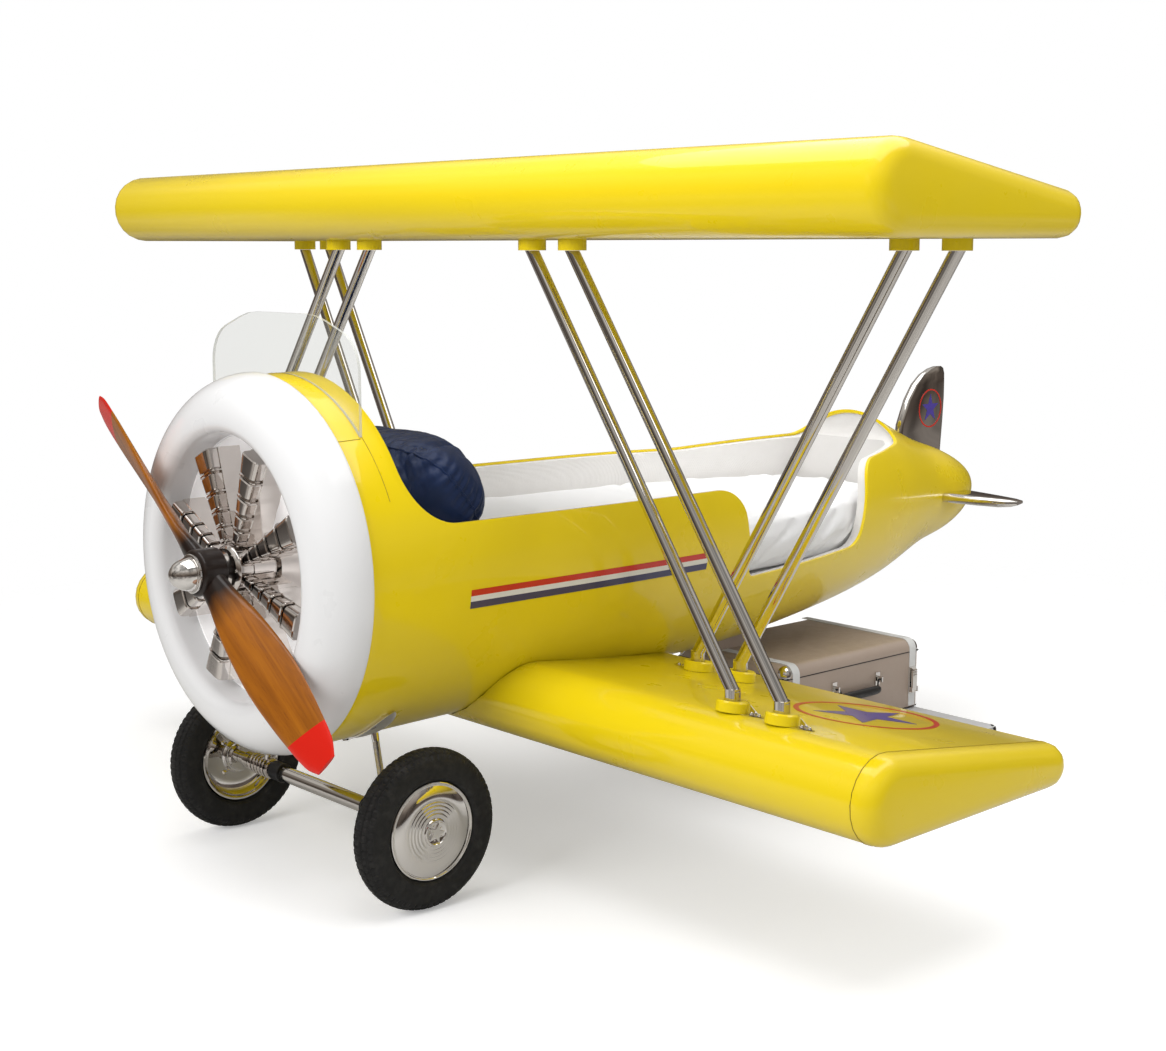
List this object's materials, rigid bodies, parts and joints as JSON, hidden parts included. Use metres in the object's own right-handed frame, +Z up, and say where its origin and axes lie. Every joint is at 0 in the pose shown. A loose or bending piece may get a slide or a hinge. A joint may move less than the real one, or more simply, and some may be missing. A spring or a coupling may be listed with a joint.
{
  "type": "child's bed in the shape of a biplane",
  "caption": "Full-size biplane-shaped child's bed: tub fuselage with mattress and side entry, strutted wings, chrome radial engine, wooden propeller, wheels and step cases.",
  "frame": {"origin": "on the floor below the middle of the overall box", "axes": "+Z up, -Y towards the propeller, +X towards the side with the low entry"},
  "size_m": [3.138, 3.148, 1.8093],
  "materials": {
    "yellow_lacquer": "high-gloss yellow lacquer on moulded shells",
    "white_lacquer": "high-gloss white lacquer",
    "chrome": "polished chrome plate",
    "varnished_wood": "orange-brown gloss varnish, dark at the boss, red tips",
    "tyre_rubber": "black rubber with a block tread",
    "clear_acrylic": "clear sheet with polished edge",
    "padded_lining": "white textured padded upholstery",
    "mattress_cover": "white cotton sheet",
    "navy_quilt": "navy satin puffer fabric",
    "taupe_leather": "taupe leatherette with white straps",
    "grey_case": "light grey leatherette",
    "black_parts": "satin black"
  },
  "bodies": {
    "bed": {"fuselage_shell": "yellow_lacquer", "upper_wing": "yellow_lacquer", "lower_wing": "yellow_lacquer", "lower_wing_cap_near": "yellow_lacquer", "lower_wing_cap_far": "yellow_lacquer", "mount_disc_near_front_inner": "yellow_lacquer", "mount_disc_near_front_outer": "yellow_lacquer", "mount_disc_near_rear_inner": "yellow_lacquer", "mount_disc_near_rear_outer": "yellow_lacquer", "mount_disc_far_front_inner": "yellow_lacquer", "mount_disc_far_front_outer": "yellow_lacquer", "mount_disc_far_rear_inner": "yellow_lacquer", "mount_disc_far_rear_outer": "yellow_lacquer", "cowl_ring": "white_lacquer", "cowl_well": "white_lacquer", "engine_crankcase": "chrome", "engine_cylinder_1": "chrome", "engine_cylinder_2": "chrome", "engine_cylinder_3": "chrome", "engine_cylinder_4": "chrome", "engine_cylinder_5": "chrome", "engine_cylinder_6": "chrome", "engine_cylinder_7": "chrome", "engine_cylinder_8": "chrome", "strut_near_front_inner": "chrome", "strut_near_front_outer": "chrome", "strut_near_rear_inner": "chrome", "strut_near_rear_outer": "chrome", "strut_far_front_inner": "chrome", "strut_far_front_outer": "chrome", "strut_far_rear_inner": "chrome", "strut_far_rear_outer": "chrome", "tail_fin": "chrome", "stabilizer_near": "chrome", "stabilizer_far": "chrome", "axle": "chrome", "gear_plate_near": "chrome", "gear_plate_far": "chrome", "gear_leg_near": "chrome", "gear_leg_far": "chrome", "handle_bracket_front": "chrome", "handle_bracket_rear": "chrome", "latch_base_front": "chrome", "latch_base_rear": "chrome", "windshield": "clear_acrylic", "cockpit_liner": "padded_lining", "mattress": "mattress_cover", "quilt": "navy_quilt", "case_body": "taupe_leather", "case_lid": "taupe_leather", "step_case": "grey_case"},
    "propeller": {"propeller": "varnished_wood", "spinner": "chrome"},
    "wheel_near": {"tyre_near": "tyre_rubber", "wheel_near": "chrome"},
    "wheel_far": {"tyre_far": "tyre_rubber", "wheel_far": "chrome"},
    "case_handle": {"case_handle": "black_parts"},
    "latch_front": {"latch_front": "chrome"},
    "latch_rear": {"latch_rear": "chrome"}
  },
  "joints": [
    {"name": "propeller_spin", "type": "hinge", "parent": "bed", "child": "propeller", "pos_m": [0, -1.477, 0.812], "axis": [0, -1, 0], "continuous": true},
    {"name": "wheel_near_spin", "type": "hinge", "parent": "bed", "child": "wheel_near", "pos_m": [0.433, -1.149, 0.2], "axis": [1, 0, 0], "continuous": true},
    {"name": "wheel_far_spin", "type": "hinge", "parent": "bed", "child": "wheel_far", "pos_m": [-0.433, -1.149, 0.2], "axis": [1, 0, 0], "continuous": true},
    {"name": "handle_swing", "type": "hinge", "parent": "bed", "child": "case_handle", "pos_m": [0.428, 0.482, 0.292], "axis": [0, -1, 0], "range_deg": [0, 110]},
    {"name": "latch_front_flip", "type": "hinge", "parent": "bed", "child": "latch_front", "pos_m": [0.4238, 0.212, 0.232], "axis": [0, 1, 0], "range_deg": [0, 90]},
    {"name": "latch_rear_flip", "type": "hinge", "parent": "bed", "child": "latch_rear", "pos_m": [0.4238, 0.752, 0.232], "axis": [0, 1, 0], "range_deg": [0, 90]}
  ]
}
